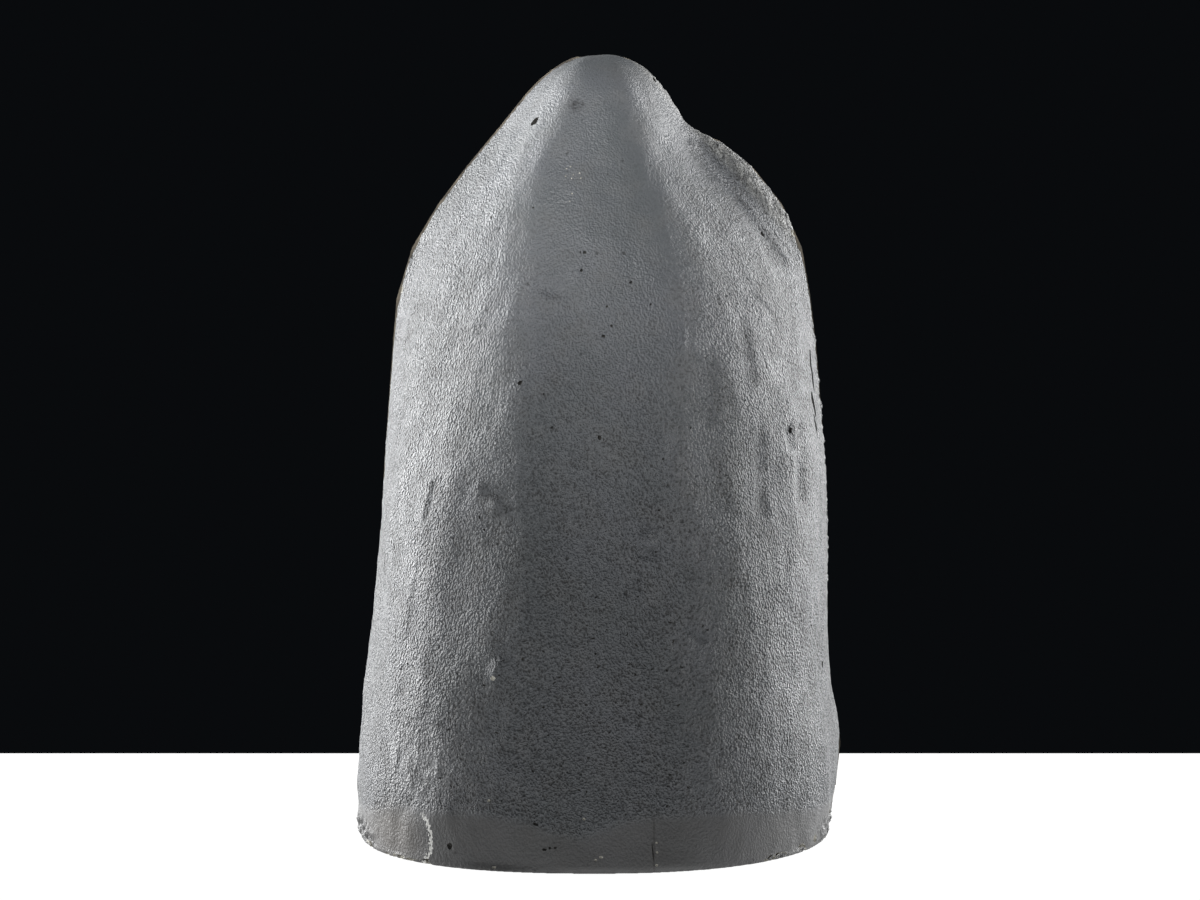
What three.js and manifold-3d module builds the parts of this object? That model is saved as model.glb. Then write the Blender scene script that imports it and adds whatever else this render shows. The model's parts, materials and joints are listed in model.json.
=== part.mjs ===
// Amethyst geode: a tall half geode standing upright, sawn open along its length. A coat of mortar
// covers its back and sides and forms the flat foot it stands on. Inside the coat is the natural stone
// wall, and the wall is lined with amethyst crystals grown together.
// Millimetres, +Z up. The sawn face looks along +Y, the back of the coat bulges towards -Y, and the
// origin is under the middle of the bounding box, on the surface the foot stands on.

import * as THREE from 'three';
import { mergeVertices } from 'three/addons/utils/BufferGeometryUtils.js';
import Module from 'manifold-3d';

const wasm = await Module();
wasm.setup();

// The whole geode
const HEIGHT = 394.6; // foot to apex
const DEPTH = 150; // sawn face to the back of the foot
const HALF_WIDTH = 124; // of the widest place, above the foot
const FACE_Y = DEPTH / 2; // plane of the sawn face

// Mortar coat: thickness at the sides of the sawn face, at the back, at the apex and under the stone
const COAT_SIDE = 4;
const COAT_BACK = 9;
const COAT_TOP = 5;
const FOOT = 20;

// Stone wall, and the lip of bare stone that stands out to the coat's outline at the sawn face
const WALL_SIDE = 12;
const WALL_BACK = 14;
const WALL_TOP = 13;
const WALL_FLOOR = 12;
const LIP = 4.5;
const FLOOR_ROUND = 60; // height over which the cavity rounds in to its floor
const FLOOR_FULLNESS = 2.4; // power of that rounding
const FLOOR_WIDTH = 0.14; // width of the flat floor, as a share of the width above it
const WALL_WAVE = 1.8; // how much the cavity wanders from an even wall
// Slow waves of the cavity's wall: share of WALL_WAVE, radians per mm upward, waves round it, and start
const WALL_WAVES = [
  { share: 1, upward: 0.047, around: 2, start: 0 },
  { share: 0.6, upward: 0.11, around: 5, start: 2 },
];

// Crystals: layer of grown-together bases, and the range of the points that stand on it
const DRUSE = 4;
const CRYSTAL_ROOT = 2.5; // depth of a crystal's root in that layer
const CRYSTAL_SPACING = 37;
const CRYSTAL_RADIUS = [14, 19];
const CRYSTAL_LENGTH = [14, 24];
const CRYSTAL_ASPECT = 1.5; // least length of a crystal, as a multiple of its radius
const CRYSTAL_TILT = 0.34; // largest lean off the wall's normal, in radians
const CRYSTAL_SKEW = 0.3; // how far a tip may lie off its middle, as a share of the radius
const CRYSTAL_STRAY = 4.5; // how far a crystal may stand above or below its row
const CRYSTAL_SLACK = 0.5; // share of its space in the row that a crystal may move along it
const CRYSTAL_OUTWARD = 0.3; // how much more often a crystal leans towards the sawn face than away
// Least heights above the floor of the first row and of any crystal, and least depth of one under the top
const CRYSTAL_FIRST_ROW = 2;
const CRYSTAL_LOWEST = 1;
const CRYSTAL_HIGHEST = 4;
const CRYSTAL_TURNS = [0.12, 3.02]; // where roots lie round the wall, clear of the sawn face
const FACE_RECESS = 0.6; // the sawn crystal edge lies this far behind the sawn stone

const GAP = 0.3; // clearance between neighbouring pieces
const TIP = 0.5; // a shape ends this far under its apex, while it still has some width
const OVERSHOOT = 12; // how far a cutting shape runs past the sawn face

const COLUMNS = 24; // facets from rim to rim round the back
// Sections from foot to apex, as shares of the height: closest at the shoulder's notch and at the apex
const SECTIONS = [
  0, 0.06, 0.13, 0.2, 0.28, 0.36, 0.44, 0.52, 0.6, 0.67, 0.74, 0.8, 0.85, 0.885, 0.9, 0.912, 0.93, 0.95,
  0.968, 0.982, 0.992, 0.998, 1,
];
const OUTLINE_SAMPLES = 400; // places taken along the curve of an outline
const HOLLOW_ROWS = 19; // facets from floor to top of the hollow
const DRUSE_COLUMNS = 10; // facets round and up the layer that the crystals stand on
const DRUSE_ROWS = 8;

// Outline of the sawn face, foot to apex, as [x, z]. The right one has a shoulder above z = 290, where
// the rim spreads past the narrower back.
const LEFT_OUTLINE = [
  [-122, 0], [-124, 32], [-117.4, 90], [-113, 130], [-110.6, 180], [-107, 228], [-102, 280], [-92, 304],
  [-75, 329], [-48, 362], [-34, 379], [-25, 387], [-13, 393.7], [0, HEIGHT],
];
const RIGHT_RIM = [[118, 0], [124.3, 42], [117, 86], [117.5, 150], [115, 200], [111, 250]];
const RIGHT_APEX = [[42.7, 363], [38, 371], [32, 379], [25, 387], [14, 393.5], [0, HEIGHT]];
const RIGHT_OUTLINE = [
  ...RIGHT_RIM, [107, 280], [102, 303], [92, 321.5], [78.5, 338], [62, 351], [50, 356], [45.5, 358.5],
  ...RIGHT_APEX,
];
// Right side of the narrow back, where it leaves the outline under the shoulder
const RIGHT_BACK = [...RIGHT_RIM, [104, 280], [88, 305], [68, 326], [54, 343], [45.5, 357], ...RIGHT_APEX];
const SHOULDER_SHELF = [12, 24]; // the shoulder's shelf lies between these depths behind the sawn face

// Lean of the back: how far it comes forward from foot to apex, how late it does so, and its rounded top
const LEAN = 107;
const LEAN_DELAY = 2.24;
const CROWN = 24;
const CROWN_FULLNESS = 2.4;

// Section of the back: a nearly flat ridge, which a bend parts from the side faces that run to the rim
const BEND = 0.42; // where the bend is, as a share of the half width
const RIDGE_CROWN = 0.25; // how much the ridge bulges, as a share of the depth at the full half width
const BEND_SOFTNESS = 0.22;
const SIDE_BOW = 0.85; // power that bows the side faces out a little
const BEND_RISE = [0.35, 0.75]; // the bend grows from nothing between these shares of the height
const LEFT_HALF = { fullness: 2.45, bent: 0.85 }; // power of the half round, and share of the bend in it
const RIGHT_HALF = { fullness: 2.2, bent: 0.55 };

// x of an outline at height z, on a smooth curve through its points
function outline(points) {
  const curve = new THREE.CatmullRomCurve3(points.map(([x, z]) => new THREE.Vector3(x, 0, z)));
  const samples = curve.getPoints(OUTLINE_SAMPLES);
  return (z) => {
    const above = samples.findIndex((p) => p.z >= z);
    if (above < 0) return 0;
    if (above === 0) return samples[0].x;
    const [low, high] = [samples[above - 1], samples[above]];
    return THREE.MathUtils.mapLinear(z, low.z, high.z, low.x, high.x);
  };
}
const leftRim = outline(LEFT_OUTLINE);
const rightRim = outline(RIGHT_OUTLINE);
const rightBack = outline(RIGHT_BACK);

// Depth of the back behind the sawn face: upright at the foot, leaning in more and more, and rounded off
// at the apex
function backDepth(z) {
  const leaning = DEPTH - LEAN * (z / HEIGHT) ** LEAN_DELAY;
  const crown = THREE.MathUtils.clamp((z - HEIGHT + CROWN) / CROWN, 0, 1);
  return leaning * (1 - crown ** CROWN_FULLNESS) ** (1 / CROWN_FULLNESS);
}

// The lesser of two lengths, with the corner between them rounded
function roundedMin(a, b, softness) {
  const share = THREE.MathUtils.clamp(0.5 + (b - a) / (2 * softness), 0, 1);
  return THREE.MathUtils.lerp(b, a, share) - softness * share * (1 - share);
}

// Depth of a section, as a share of the full depth, at a share across of the half width. bent runs from 0,
// a plain half round, to 1, a ridge with flat side faces.
function sectionDepth(across, fullness, bent) {
  const round = (1 - across ** fullness) ** (1 / fullness);
  const ridge = 1 - RIDGE_CROWN * across ** 2;
  const face = ((1 - across) / (1 - BEND)) ** SIDE_BOW;
  return THREE.MathUtils.lerp(round, roundedMin(ridge, face, BEND_SOFTNESS), bent);
}

// A point on the outside of the coat at height z. turn runs from 0 at the left rim, through the middle of
// the back, to pi at the right rim. The left side face is flatter than the right one, and both fade out
// towards the foot.
function coatPoint(z, turn) {
  const across = -Math.cos(turn);
  const { fullness, bent } = across < 0 ? LEFT_HALF : RIGHT_HALF;
  const risen = THREE.MathUtils.smoothstep(z / HEIGHT, ...BEND_RISE);
  const behind = backDepth(z) * sectionDepth(Math.abs(across), fullness, bent * risen);
  const shoulder = 1 - THREE.MathUtils.smoothstep(behind, ...SHOULDER_SHELF);
  const reach = across < 0 ? -leftRim(z) : THREE.MathUtils.lerp(rightBack(z), rightRim(z), shoulder);
  return new THREE.Vector3(across * reach, FACE_Y - behind, z);
}

// The coat's outside drawn in by given amounts at its sides, back and top
function drawnIn(side, back, top) {
  const scale = [(HALF_WIDTH - side) / HALF_WIDTH, (DEPTH - back) / DEPTH, (HEIGHT - top) / HEIGHT];
  return (z, turn) => {
    const p = coatPoint(z / scale[2], turn);
    return new THREE.Vector3(p.x * scale[0], FACE_Y - (FACE_Y - p.y) * scale[1], z);
  };
}

// The hollow of the stone, drawn in further by extra: rounded at its floor, with an uneven wall
function hollow(extra) {
  const wall = drawnIn(
    COAT_SIDE + WALL_SIDE + extra, COAT_BACK + WALL_BACK + extra, COAT_TOP + WALL_TOP + extra);
  const floor = FOOT + WALL_FLOOR + extra;
  const middle = (leftRim(FLOOR_ROUND) + rightRim(FLOOR_ROUND)) / 2;
  return (z, turn) => {
    const p = wall(z, turn);
    const under = THREE.MathUtils.clamp((floor + FLOOR_ROUND - z) / FLOOR_ROUND, 0, 1);
    const rounding = Math.sqrt(Math.max(FLOOR_WIDTH ** 2, 1 - under ** FLOOR_FULLNESS));
    let wave = 0;
    for (const { share, upward, around, start } of WALL_WAVES) {
      wave += share * Math.sin(z * upward + turn * around + start);
    }
    const grow = 1 + ((WALL_WAVE * wave) / HALF_WIDTH) * Math.sin((Math.PI * z) / HEIGHT);
    return new THREE.Vector3(
      middle + (p.x - middle) * rounding * grow, FACE_Y - (FACE_Y - p.y) * rounding * grow, z);
  };
}

const floorOf = (extra) => FOOT + WALL_FLOOR + extra;
const topOf = (...layers) => HEIGHT - layers.reduce((sum, layer) => sum + layer, 0);

// Heights of a loft's sections
function sectionHeights(from, to) {
  return SECTIONS.map((share) => THREE.MathUtils.lerp(from, to, share));
}

// Heights of a loft's sections where both its ends round over
function roundedHeights(from, to, rows) {
  return Array.from({ length: rows + 1 }, (_, i) => (
    THREE.MathUtils.lerp(from, to, (1 - Math.cos((Math.PI * i) / rows)) / 2)));
}

// A closed solid through sections at the given heights. Its flat front lies at frontY.
function loft(surface, heights, frontY, columns = COLUMNS) {
  const ring = columns + 3;
  const positions = [];
  for (const z of heights) {
    for (let i = 0; i <= columns; i += 1) {
      const p = surface(z, (Math.PI * i) / columns);
      if (i === 0) positions.push(p.x, frontY, z);
      positions.push(p.x, p.y, z);
      if (i === columns) positions.push(p.x, frontY, z);
    }
  }
  const index = [];
  for (let row = 0; row < heights.length - 1; row += 1) {
    for (let i = 0; i < ring; i += 1) {
      const [a, b] = [row * ring + i, row * ring + ((i + 1) % ring)];
      index.push(a, b, b + ring, a, b + ring, a + ring);
    }
  }
  for (const [row, turned] of [[0, true], [heights.length - 1, false]]) {
    const start = row * ring;
    const flat = Array.from({ length: ring }, (_, i) => new THREE.Vector2(
      positions[3 * (start + i)], positions[3 * (start + i) + 1]));
    for (const [a, b, c] of THREE.ShapeUtils.triangulateShape(flat, [])) {
      index.push(start + a, start + (turned ? c : b), start + (turned ? b : c));
    }
  }
  const geometry = new THREE.BufferGeometry();
  geometry.setAttribute('position', new THREE.Float32BufferAttribute(positions, 3));
  geometry.setIndex(index);
  return solid(geometry);
}

// A closed geometry as a solid that can be joined and cut
function solid(geometry) {
  const bare = geometry.clone();
  bare.deleteAttribute('normal');
  bare.deleteAttribute('uv');
  const merged = mergeVertices(bare, 1e-4);
  const corners = merged.index.array;
  const faces = [];
  for (let i = 0; i < corners.length; i += 3) {
    const [a, b, c] = [corners[i], corners[i + 1], corners[i + 2]];
    if (a !== b && b !== c && c !== a) faces.push(a, b, c);
  }
  return new wasm.Manifold(new wasm.Mesh({
    numProp: 3,
    vertProperties: new Float32Array(merged.attributes.position.array),
    triVerts: new Uint32Array(faces),
  }));
}

function mesh(name, shape, material) {
  const { vertProperties, triVerts } = shape.getMesh();
  const geometry = new THREE.BufferGeometry();
  geometry.setAttribute('position', new THREE.BufferAttribute(vertProperties, 3));
  geometry.setIndex(new THREE.BufferAttribute(triVerts, 1));
  geometry.computeVertexNormals();
  const part = new THREE.Mesh(geometry, material);
  part.name = name;
  return part;
}

// The sawn face's outline as a plate, drawn in by side and top, from z = foot up
function plate(side, top, foot, backY, frontY) {
  const edge = drawnIn(side, 0, top);
  const shape = new THREE.Shape();
  const heights = sectionHeights(foot, topOf(top, TIP));
  const rim = [...heights.map((z) => edge(z, 0)), ...heights.map((z) => edge(z, Math.PI)).reverse()];
  rim.forEach((p, i) => (i ? shape.lineTo(p.x, p.z) : shape.moveTo(p.x, p.z)));
  const geometry = new THREE.ExtrudeGeometry(shape, { depth: frontY - backY, bevelEnabled: false });
  geometry.rotateX(Math.PI / 2);
  geometry.translate(0, frontY, 0);
  return solid(geometry);
}

// Coat: outside less the room for the stone, and cut back behind the stone's lip
function mortarCoat() {
  const outside = loft(coatPoint, sectionHeights(0, topOf(TIP)), FACE_Y);
  const inside = drawnIn(COAT_SIDE, COAT_BACK, COAT_TOP);
  const room = loft(inside, sectionHeights(FOOT, topOf(COAT_TOP, TIP)), FACE_Y + OVERSHOOT);
  const behindLip = plate(-OVERSHOOT, -OVERSHOOT, FOOT, FACE_Y - LIP - GAP, FACE_Y + OVERSHOOT);
  return outside.subtract(room).subtract(behindLip);
}

// Stone: fills the room in the coat, with its lip out to the outline, and is hollow
function stoneWall() {
  const outside = drawnIn(COAT_SIDE + GAP, COAT_BACK + GAP, COAT_TOP + GAP);
  const block = loft(outside, sectionHeights(FOOT + GAP, topOf(COAT_TOP, GAP, TIP)), FACE_Y);
  const lip = plate(0, 0, FOOT + GAP, FACE_Y - LIP, FACE_Y);
  const roomHeights = roundedHeights(floorOf(0), topOf(COAT_TOP, WALL_TOP, TIP), HOLLOW_ROWS);
  const room = loft(hollow(0), roomHeights, FACE_Y + OVERSHOOT);
  return block.add(lip).subtract(room);
}

// Repeatable random numbers from 0 to 1
function randomFrom(seed) {
  let state = seed;
  return () => {
    state = (state * 1664525 + 1013904223) % 4294967296;
    return state / 4294967296;
  };
}

// One crystal along +Z, sunk into the layer by its root: a six-sided point with its tip off the middle
function crystal(radius, length, skew) {
  const whole = length + CRYSTAL_ROOT;
  const geometry = new THREE.ConeGeometry(radius, whole, 6);
  geometry.rotateX(Math.PI / 2);
  geometry.translate(0, 0, whole / 2);
  geometry.applyMatrix4(new THREE.Matrix4().makeShear(0, 0, 0, 0, (skew * radius) / whole, 0));
  geometry.translate(0, 0, -CRYSTAL_ROOT);
  return geometry;
}

// The wall's normal at a place on a surface, into the hollow
function wallNormal(surface, z, turn) {
  const [step, rise] = [0.02, 1];
  const root = surface(z, turn);
  const along = surface(z, turn + step).sub(root);
  const up = surface(z + rise, turn).sub(root);
  return new THREE.Vector3().crossVectors(up, along).normalize();
}

// Length round a surface at height z, from rim to rim
function girth(surface, z) {
  let sum = 0;
  for (let i = 0; i < COLUMNS; i += 1) {
    const [from, to] = [surface(z, (Math.PI * i) / COLUMNS), surface(z, (Math.PI * (i + 1)) / COLUMNS)];
    sum += from.distanceTo(to);
  }
  return sum;
}

// Crystals: a layer of bases on the wall of the hollow, with points standing on it in staggered rows
function crystals() {
  const random = randomFrom(7);
  const between = ([low, high]) => low + (high - low) * random();
  const sawn = solid(new THREE.BoxGeometry(2 * HALF_WIDTH, OVERSHOOT, 2 * HEIGHT)
    .translate(0, FACE_Y - FACE_RECESS + OVERSHOOT / 2, 0));
  const wallHeights = roundedHeights(floorOf(GAP), topOf(COAT_TOP, WALL_TOP, GAP, TIP), HOLLOW_ROWS);
  const filled = loft(hollow(GAP), wallHeights, FACE_Y).subtract(sawn);
  const inner = hollow(GAP + DRUSE);
  const low = floorOf(GAP + DRUSE);
  const high = topOf(COAT_TOP, WALL_TOP, GAP + DRUSE, TIP);
  const bases = roundedHeights(low, high, DRUSE_ROWS);
  let grown = filled.subtract(loft(inner, bases, FACE_Y + OVERSHOOT, DRUSE_COLUMNS));
  const [lowest, highest] = [low + CRYSTAL_LOWEST, high - CRYSTAL_HIGHEST];
  const rows = Math.round((high - low) / CRYSTAL_SPACING);
  for (let row = 0; row <= rows; row += 1) {
    const z = THREE.MathUtils.lerp(low + CRYSTAL_FIRST_ROW, highest - CRYSTAL_STRAY, row / rows);
    const count = Math.max(1, Math.round(girth(inner, z) / CRYSTAL_SPACING));
    for (let i = 0; i < count; i += 1) {
      const place = (Math.PI * (i + 0.5 + CRYSTAL_SLACK * (random() - 0.5))) / count;
      const turn = THREE.MathUtils.clamp(place, ...CRYSTAL_TURNS);
      const height = THREE.MathUtils.clamp(z + CRYSTAL_STRAY * (2 * random() - 1), lowest, highest);
      const tilt = new THREE.Vector3(random() - 0.5, random() - 0.5, random() - 0.5);
      tilt.y += CRYSTAL_OUTWARD;
      const aim = wallNormal(inner, height, turn).addScaledVector(tilt, 2 * CRYSTAL_TILT).normalize();
      const radius = between(CRYSTAL_RADIUS);
      const length = Math.max(between(CRYSTAL_LENGTH), radius * CRYSTAL_ASPECT);
      const geometry = crystal(radius, length, CRYSTAL_SKEW * random());
      geometry.rotateZ(random() * Math.PI);
      geometry.applyQuaternion(new THREE.Quaternion().setFromUnitVectors(new THREE.Vector3(0, 0, 1), aim));
      const root = inner(height, turn);
      geometry.translate(root.x, root.y, root.z);
      grown = grown.add(solid(geometry).intersect(filled));
    }
  }
  return grown;
}

const finishes = {
  mortar_jacket: new THREE.MeshStandardMaterial({ color: 0x55585b, roughness: 0.62, metalness: 0 }),
  agate_rind: new THREE.MeshStandardMaterial({ color: 0x9a948a, roughness: 0.3, metalness: 0 }),
  amethyst_crystals: new THREE.MeshStandardMaterial({ color: 0x5a2d91, roughness: 0.08, metalness: 0 }),
};

const geode = new THREE.Group();
geode.add(mesh('mortar_jacket', mortarCoat(), finishes.mortar_jacket));
geode.add(mesh('agate_rind', stoneWall(), finishes.agate_rind));
geode.add(mesh('amethyst_crystals', crystals(), finishes.amethyst_crystals));

export default geode;
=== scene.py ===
# Amethyst geode: a tall half geode on its foot, seen from its mortar-covered back, on a white table
# in a dark room. All in metres: +Z up, the sawn face with the crystals looks along +Y.
import json
import math
import random

import bpy
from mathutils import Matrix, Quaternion, Vector
from mathutils.kdtree import KDTree

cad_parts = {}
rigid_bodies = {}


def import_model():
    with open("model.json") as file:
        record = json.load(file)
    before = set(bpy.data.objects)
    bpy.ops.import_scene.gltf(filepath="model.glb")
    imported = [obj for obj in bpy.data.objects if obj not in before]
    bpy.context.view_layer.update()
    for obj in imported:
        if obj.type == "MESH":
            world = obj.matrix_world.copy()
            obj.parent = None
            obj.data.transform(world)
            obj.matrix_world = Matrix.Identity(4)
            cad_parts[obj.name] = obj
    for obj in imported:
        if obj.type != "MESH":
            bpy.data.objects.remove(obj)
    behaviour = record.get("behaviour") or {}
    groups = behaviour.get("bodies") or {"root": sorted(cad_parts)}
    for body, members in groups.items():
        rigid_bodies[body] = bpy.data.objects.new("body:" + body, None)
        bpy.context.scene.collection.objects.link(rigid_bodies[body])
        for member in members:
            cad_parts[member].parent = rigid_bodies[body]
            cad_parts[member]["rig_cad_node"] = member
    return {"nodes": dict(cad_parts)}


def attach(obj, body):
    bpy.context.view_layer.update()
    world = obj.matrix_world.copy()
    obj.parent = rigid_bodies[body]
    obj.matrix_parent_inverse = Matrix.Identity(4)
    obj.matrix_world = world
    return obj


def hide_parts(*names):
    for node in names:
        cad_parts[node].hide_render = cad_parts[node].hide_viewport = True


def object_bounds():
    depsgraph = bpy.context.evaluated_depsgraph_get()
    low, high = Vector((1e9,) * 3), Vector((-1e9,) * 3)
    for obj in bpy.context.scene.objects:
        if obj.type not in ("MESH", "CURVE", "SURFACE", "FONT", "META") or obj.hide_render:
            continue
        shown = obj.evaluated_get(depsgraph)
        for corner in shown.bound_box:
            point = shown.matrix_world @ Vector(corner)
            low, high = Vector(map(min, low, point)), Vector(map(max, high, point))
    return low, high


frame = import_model()
cad_low, cad_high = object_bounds()
bpy.ops.object.select_all(action="DESELECT")

# ---- Mortar coat ----
# Sandy mortar is trowelled over the back and sides of the stone, and brushed while it is wet. Round the
# foot it is pressed smooth in a shallow band. When it has set it is painted a satin dark grey.
COAT_GRID = 0.00105
COAT_TRIANGLES = 164000
HIDDEN_SHARE = 0.03
FACE_Y = cad_high.y
FOOT_TOP = 0.0195
BAND_TOP = 0.025
CREASE_X = 0.045
CREASE_Z = 0.354
CREASE_ACROSS = 0.742
CREASE_UP = 0.670
MARK_HEIGHT = 0.004
MARK_REACH = 0.070


def copy_of(node, name):
    """A piece of its own with the mesh of a CAD node, its doubles merged and its flat parts in quads."""
    bpy.ops.object.select_all(action="DESELECT")
    source = frame["nodes"][node]
    source.select_set(True)
    bpy.context.view_layer.objects.active = source
    bpy.ops.object.duplicate()
    piece = bpy.context.object
    piece.name = name
    piece.parent = None
    del piece["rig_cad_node"]
    bpy.ops.object.mode_set(mode="EDIT")
    bpy.ops.mesh.select_mode(type="VERT")
    bpy.ops.mesh.select_all(action="SELECT")
    bpy.ops.mesh.remove_doubles(threshold=1e-5)
    bpy.ops.mesh.tris_convert_to_quads(face_threshold=1.3, shape_threshold=1.3)
    bpy.ops.object.mode_set(mode="OBJECT")
    piece.data.materials.clear()
    return piece


def modify(piece, kind, **settings):
    """Adds a modifier to a piece, sets it and applies it."""
    bpy.context.view_layer.objects.active = piece
    bpy.ops.object.modifier_add(type=kind)
    modifier = piece.modifiers[-1]
    for setting, value in settings.items():
        setattr(modifier, setting, value)
    bpy.ops.object.modifier_apply(modifier=modifier.name)


def select_faces(piece, wanted):
    """Leaves edit mode open with just the faces selected for which wanted(centre, normal) is true."""
    bpy.context.view_layer.objects.active = piece
    bpy.ops.object.mode_set(mode="EDIT")
    bpy.ops.mesh.select_mode(type="FACE")
    bpy.ops.mesh.select_all(action="DESELECT")
    bpy.ops.object.mode_set(mode="OBJECT")
    for face in piece.data.polygons:
        face.select = wanted(face.center, face.normal)
    bpy.ops.object.mode_set(mode="EDIT")


coat = copy_of("mortar_jacket", "mortar_coat")
bpy.ops.object.mode_set(mode="EDIT")
bpy.ops.mesh.select_mode(type="EDGE")
bpy.ops.mesh.select_all(action="DESELECT")
bpy.ops.mesh.edges_select_sharp(sharpness=math.radians(40))
bpy.ops.transform.edge_crease(value=1)
bpy.ops.object.mode_set(mode="OBJECT")
modify(coat, "SUBSURF", levels=2, render_levels=2)


def out_of_sight(centre, normal):
    """True on the side of the coat that lies on the stone, on its rim and under its foot."""
    outward = normal.x * centre.x + normal.y * (centre.y - FACE_Y)
    rim = normal.y > 0.6 and centre.z > FOOT_TOP
    ledge = normal.z > 0.9 and centre.z < FOOT_TOP + 0.003
    underside = normal.z < -0.9 and centre.z < 0.002
    return outward < 0 or rim or ledge or underside


def smooth_step(low, high, value):
    """0 below low, 1 above high, and an even curve between them. low may be above high."""
    share = min(1, max(0, (value - low) / (high - low)))
    return share * share * (3 - 2 * share)


def band_top(x):
    """Height of the smooth band round the foot: it dips left of the middle and towards both corners."""
    middle_dip = 0.009 * math.exp(-((x + 0.012) / 0.020) ** 2)
    left_dip = 0.010 * smooth_step(-0.09, -0.125, x)
    right_dip = 0.006 * smooth_step(0.06, 0.12, x)
    return BAND_TOP - middle_dip - left_dip - right_dip


def past_crease(place):
    """How far a place lies beyond the crease between the hood and its shoulder lobe."""
    return (place.x - CREASE_X) * CREASE_ACROSS + (place.z - CREASE_Z) * CREASE_UP


def near(place, mark):
    """1 on a mark's line, 0 past its half width. Both are seen from behind: across and up."""
    x, z, end_x, end_z, half_width, _ = mark
    run_x, run_z = end_x - x, end_z - z
    along = (place.x - x) * run_x + (place.z - z) * run_z
    share = min(1, max(0, along / max(run_x ** 2 + run_z ** 2, 1e-9)))
    gap = math.hypot(place.x - x - share * run_x, place.z - z - share * run_z)
    return smooth_step(half_width, 0, gap)


def relief(place):
    """Height that the single lumps, dents and furrows give a place. None reaches past MARK_REACH."""
    total = 0
    for mark in MARKS:
        x, z, _, end_z, half_width, height = mark
        beside = min(z, end_z) - half_width < place.z < max(z, end_z) + half_width
        if beside and abs(place.x - x) < MARK_REACH:
            total += height * near(place, mark)
    return total


# The ends of each lump, dent and furrow across and up, half its width, and its height.
MARKS = (
    (-0.0080, 0.3930, 0.0070, 0.3930, 0.0240, -0.0004),
    (-0.0780, 0.2400, -0.0850, 0.0900, 0.0360, 0.0009),
    (0.0225, 0.1545, 0.0235, 0.1530, 0.0060, 0.0028),
    (0.0195, 0.1480, 0.0260, 0.1475, 0.0034, -0.0018),
    (-0.0560, 0.1770, -0.0560, 0.1770, 0.0045, 0.0015),
    (-0.0485, 0.1700, -0.0490, 0.1690, 0.0048, 0.0018),
    (-0.0462, 0.0950, -0.0480, 0.0920, 0.0060, 0.0023),
    (-0.0250, 0.2725, -0.0220, 0.2715, 0.0070, -0.0009),
    (-0.0250, 0.2670, -0.0205, 0.2668, 0.0040, 0.0006),
    (0.0400, 0.2525, 0.0398, 0.2450, 0.0032, 0.0010),
    (0.0420, 0.1125, 0.0485, 0.1070, 0.0035, -0.0010),
    (0.0765, 0.2710, 0.0855, 0.2625, 0.0015, -0.0006),
    (0.0700, 0.2580, 0.0730, 0.2300, 0.0050, -0.0009),
    (-0.0785, 0.1790, -0.0825, 0.1620, 0.0018, -0.0008),
    (0.0930, 0.2040, 0.0945, 0.1960, 0.0040, -0.0022),
    (0.0780, 0.2010, 0.0790, 0.1650, 0.0050, -0.0013),
    (0.0985, 0.2050, 0.0990, 0.1700, 0.0050, -0.0014),
    (0.0470, 0.3480, 0.0960, 0.2900, 0.0030, 0.0008),
    (0.0530, 0.3500, 0.1010, 0.2960, 0.0042, -0.0007),
    (0.0620, 0.3480, 0.0950, 0.3130, 0.0050, 0.0006),
    (-0.0340, 0.2200, -0.0330, 0.1100, 0.0320, 0.0023),
    (-0.0880, 0.1450, -0.0930, 0.0800, 0.0120, -0.0012),
    (0.0620, 0.2350, 0.0650, 0.1400, 0.0120, 0.0010),
    (0.0860, 0.1350, 0.0900, 0.0700, 0.0110, -0.0004),
)


def weigh(piece, name, weight):
    """A vertex group of a piece that holds weight(place, normal) at each vertex."""
    group = piece.vertex_groups.new(name=name)
    for vertex in piece.data.vertices:
        group.add([vertex.index], weight(vertex.co, vertex.normal), "REPLACE")


def outside(place, normal):
    """Weight of the coat's outside, fading out just above the flat underside and behind the rim."""
    if out_of_sight(place, normal):
        return 0
    return smooth_step(0.0003, 0.003, place.z)


def body(place, normal):
    """Weight of the coat's outside without its edge along the sawn face, whose outline stays as it is."""
    return outside(place, normal) * smooth_step(FACE_Y - 0.002, FACE_Y - 0.020, place.y)


def rounded(place, normal):
    """Weight of the long soft bends of the back. The crease beside the shoulder lobe stays sharp."""
    return body(place, normal) * smooth_step(-0.006, -0.026, past_crease(place))


def raised(place, normal):
    """Weight of the single lumps."""
    return outside(place, normal) * max(0, relief(place)) / MARK_HEIGHT


def sunken(place, normal):
    """Weight of the single dents and furrows."""
    return outside(place, normal) * max(0, -relief(place)) / MARK_HEIGHT


def brushed(place, normal):
    """Weight of the brush marks: strong at the sides, weak on the ridge and in the smooth foot band."""
    ridge = smooth_step(0.030, 0.070, abs(place.x + 0.005))
    lower = smooth_step(0.32, 0.14, place.z)
    above_band = 0.12 + 0.88 * smooth_step(-0.002, 0.004, place.z - band_top(place.x))
    return outside(place, normal) * above_band * (0.25 + 0.75 * max(ridge, 0.8 * lower))


def brushed_left(place, normal):
    """Weight of the strokes that lean to the right, on the left half."""
    return brushed(place, normal) * smooth_step(0.03, -0.03, place.x)


def brushed_right(place, normal):
    """Weight of the strokes that lean to the left, on the right half."""
    return brushed(place, normal) * smooth_step(-0.03, 0.03, place.x)


def scraped(place, normal):
    """Weight of the coarse rough patch low on the left, where the wet mortar was scraped."""
    reach = math.hypot((place.x + 0.086) / 0.018, (place.z - 0.045) / 0.024)
    return outside(place, normal) * smooth_step(1.25, 0.3, reach)


def lobed(place, normal):
    """Weight of the shoulder lobe beyond the crease, where the mortar follows the broken stone."""
    return outside(place, normal) * smooth_step(0.001, 0.006, past_crease(place))


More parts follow.
